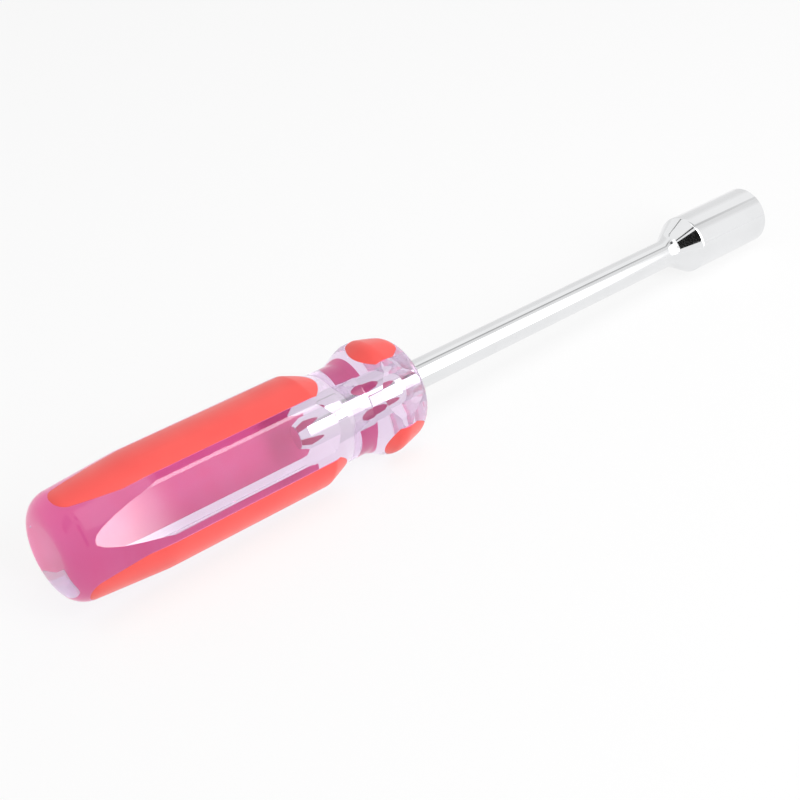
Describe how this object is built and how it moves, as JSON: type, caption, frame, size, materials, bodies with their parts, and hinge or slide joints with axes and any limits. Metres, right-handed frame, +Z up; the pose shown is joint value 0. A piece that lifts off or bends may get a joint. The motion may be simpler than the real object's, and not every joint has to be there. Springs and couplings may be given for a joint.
{
  "type": "nut driver",
  "caption": "Nut driver with a chromed hex-socket blade fixed in a clear turned handle that has flat windows and red inlays.",
  "frame": {"origin": "centre of the hex socket's mouth, on the tool's axis", "axes": "+X along the tool's axis, out of the socket's mouth; +Z up, with one window flat of the handle facing down"},
  "size_m": [0.18, 0.0226, 0.0213],
  "materials": {
    "clear_plastic": "polished clear plastic with a faint lavender tint",
    "red_plastic": "smooth opaque red plastic",
    "chrome_plate": "bright chrome plating"
  },
  "bodies": {
    "root": {"handle_body": "clear_plastic", "grip_inlay_top": "red_plastic", "grip_inlay_left": "red_plastic", "grip_inlay_right": "red_plastic", "collar_inlay_top": "red_plastic", "collar_inlay_left": "red_plastic", "collar_inlay_right": "red_plastic", "blade": "chrome_plate"}
  },
  "joints": []
}
